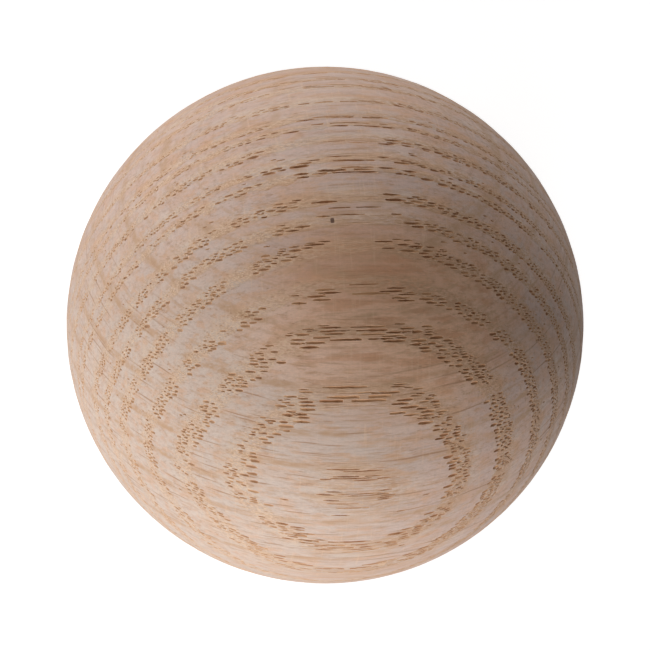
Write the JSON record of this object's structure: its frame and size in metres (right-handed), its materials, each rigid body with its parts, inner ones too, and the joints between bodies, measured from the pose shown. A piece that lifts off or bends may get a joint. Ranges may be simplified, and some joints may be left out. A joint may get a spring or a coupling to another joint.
{
  "type": "handrail end cap",
  "caption": "Turned wooden ball that closes the end of a round handrail, with a flat seat and a blind dowel hole.",
  "frame": {"origin": "centre of the flat seat that meets the end of the handrail", "axes": "+Z along the handrail's axis, out through the ball's nose; +X along the grain of the wood"},
  "size_m": [0.06, 0.06, 0.0514],
  "materials": {
    "oak": "untreated, finely sanded, open pores"
  },
  "bodies": {
    "root": {"turned_ball": "oak"}
  },
  "joints": []
}
